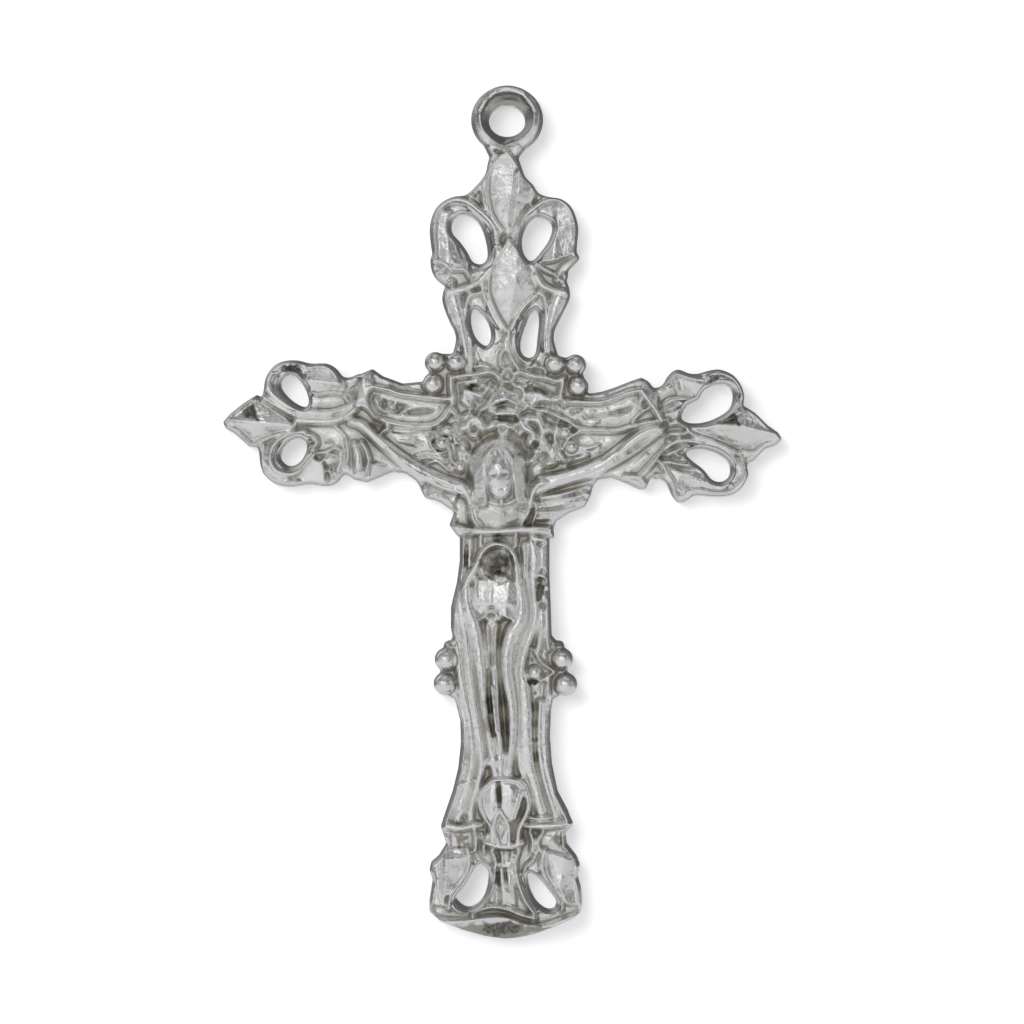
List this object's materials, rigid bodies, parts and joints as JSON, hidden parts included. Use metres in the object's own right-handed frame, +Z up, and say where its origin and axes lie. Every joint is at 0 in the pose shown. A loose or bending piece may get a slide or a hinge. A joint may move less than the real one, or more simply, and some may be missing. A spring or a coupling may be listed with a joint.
{
  "type": "crucifix pendant",
  "caption": "Small ornate crucifix pendant: a flat-backed pierced cross with leaf ends, raised corpus and a cast hanging eye.",
  "frame": {"origin": "Middle of the hanging eye's bore, half way through the eye's thickness.", "axes": "+Z up the post to the eye, +X to the right of someone who looks at the figure, -Y the way the figure faces. The flat back lies in the plane 1.0 mm on the +Y side of the origin."},
  "size_m": [0.0295, 0.0036, 0.045],
  "materials": {
    "silver_plate": "gloss"
  },
  "bodies": {
    "root": {"eyelet": "silver_plate", "top_petal": "silver_plate", "top_lower_petal": "silver_plate", "top_stem": "silver_plate", "top_leaf_left": "silver_plate", "top_leaf_right": "silver_plate", "top_strut_left": "silver_plate", "top_strut_right": "silver_plate", "head": "silver_plate", "chest_bar": "silver_plate", "chest": "silver_plate", "belly": "silver_plate", "loincloth": "silver_plate", "legs": "silver_plate", "feet": "silver_plate", "arm_left": "silver_plate", "arm_right": "silver_plate", "crossing_plate": "silver_plate", "collar_left": "silver_plate", "collar_right": "silver_plate", "beam_left": "silver_plate", "beam_right": "silver_plate", "beam_rim_upper_left": "silver_plate", "beam_rim_lower_left": "silver_plate", "beam_rim_upper_right": "silver_plate", "beam_rim_lower_right": "silver_plate", "crossing_rim": "silver_plate", "banner": "silver_plate", "garland": "silver_plate", "grains_upper_left": "silver_plate", "grains_upper_right": "silver_plate", "panel_grain_left": "silver_plate", "panel_grain_right": "silver_plate", "left_petal": "silver_plate", "left_stem": "silver_plate", "left_leaf_upper": "silver_plate", "left_leaf_lower": "silver_plate", "right_petal": "silver_plate", "right_stem": "silver_plate", "right_leaf_upper": "silver_plate", "right_leaf_lower": "silver_plate", "post_plate": "silver_plate", "post_rim_left": "silver_plate", "post_rim_right": "silver_plate", "fold_left": "silver_plate", "fold_right": "silver_plate", "grains_lower_left": "silver_plate", "grains_lower_right": "silver_plate", "foot_rest": "silver_plate", "foot_collar": "silver_plate", "foot_collar_rim_left": "silver_plate", "foot_collar_rim_right": "silver_plate", "foot_stem": "silver_plate", "foot_cap": "silver_plate", "foot_leaf_left": "silver_plate", "foot_leaf_right": "silver_plate"}
  },
  "joints": []
}
